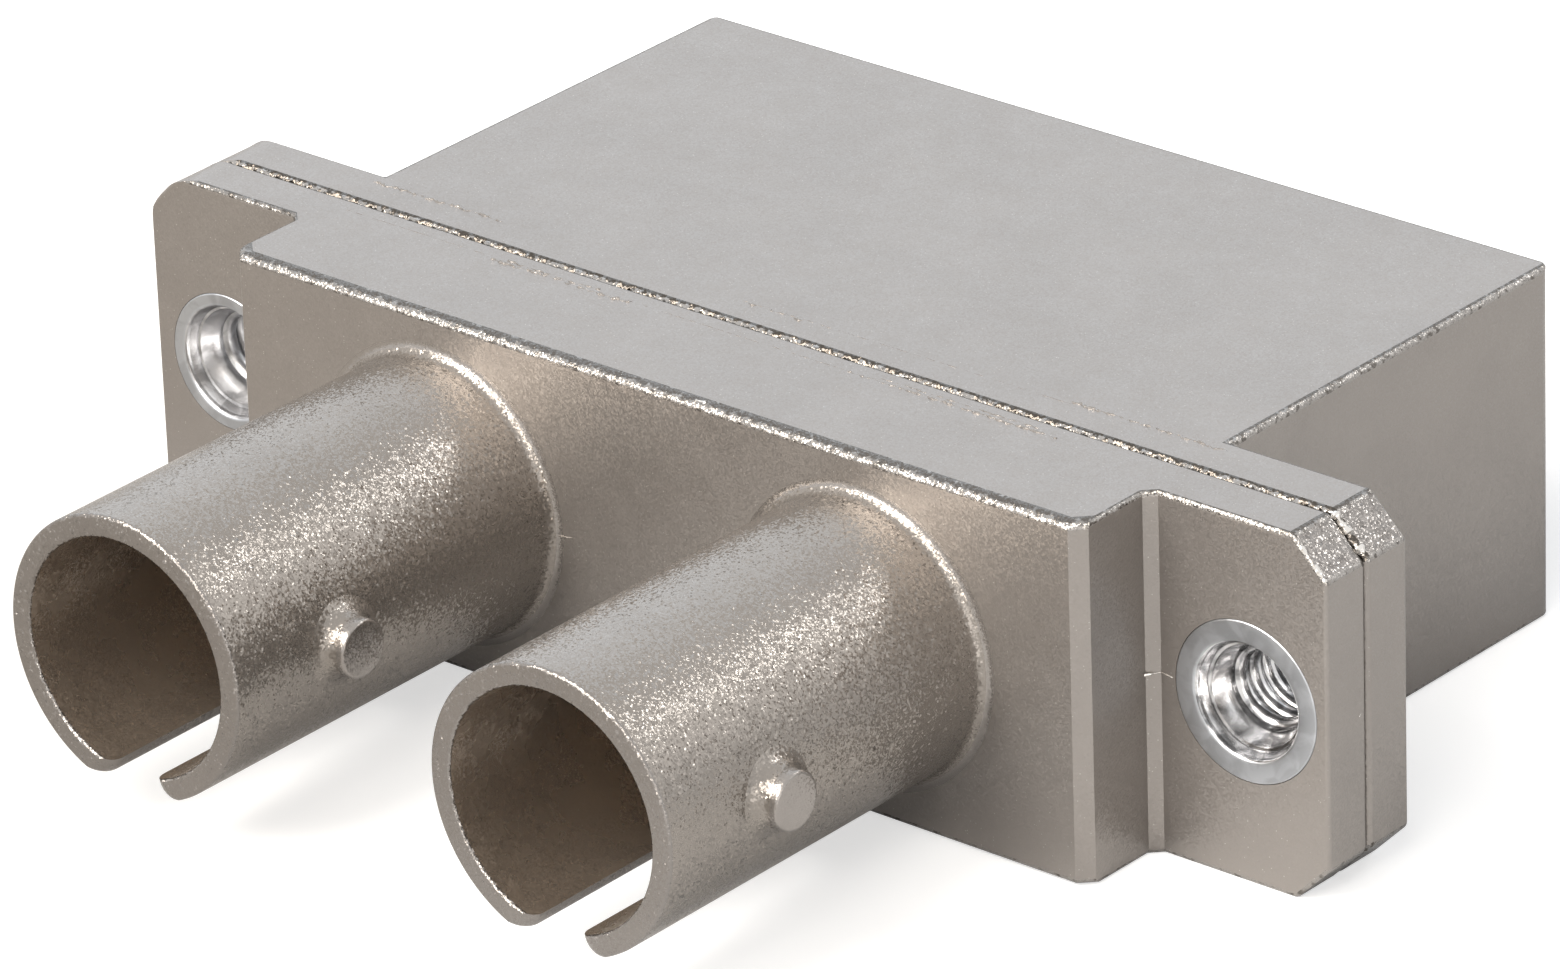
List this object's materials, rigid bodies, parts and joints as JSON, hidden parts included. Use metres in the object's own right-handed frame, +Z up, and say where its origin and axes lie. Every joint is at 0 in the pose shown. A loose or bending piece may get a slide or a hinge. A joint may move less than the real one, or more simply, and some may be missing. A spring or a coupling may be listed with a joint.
{
  "type": "fibre optic coupler",
  "caption": "Metal duplex coupler that joins a pair of round bayonet fibre plugs to a pair of square push-in fibre plugs, with screw ears at the seam.",
  "frame": {"origin": "midway between the axes of the two screw bushes, on the seam between the two castings", "axes": "+X across the two channels, from the left bush to the right one seen from the barrels; -Y out of the bayonet barrels and +Y out of the square ports; +Z up, square to the flat underside that the part rests on"},
  "size_m": [0.0352, 0.0282, 0.009],
  "materials": {
    "plated_casting": "satin nickel plate over a zinc die casting, with a fine blasted grain",
    "bush_metal": "bright plated turned metal",
    "sleeve_ceramic": "ground white zirconia ceramic",
    "latch_plastic": "moulded natural engineering plastic"
  },
  "bodies": {
    "root": {"front_housing": "plated_casting", "rear_housing": "plated_casting", "threaded_bush_left": "bush_metal", "threaded_bush_right": "bush_metal", "alignment_sleeve_left": "sleeve_ceramic", "alignment_sleeve_right": "sleeve_ceramic", "sc_latch_left": "latch_plastic", "sc_latch_right": "latch_plastic"}
  },
  "joints": []
}
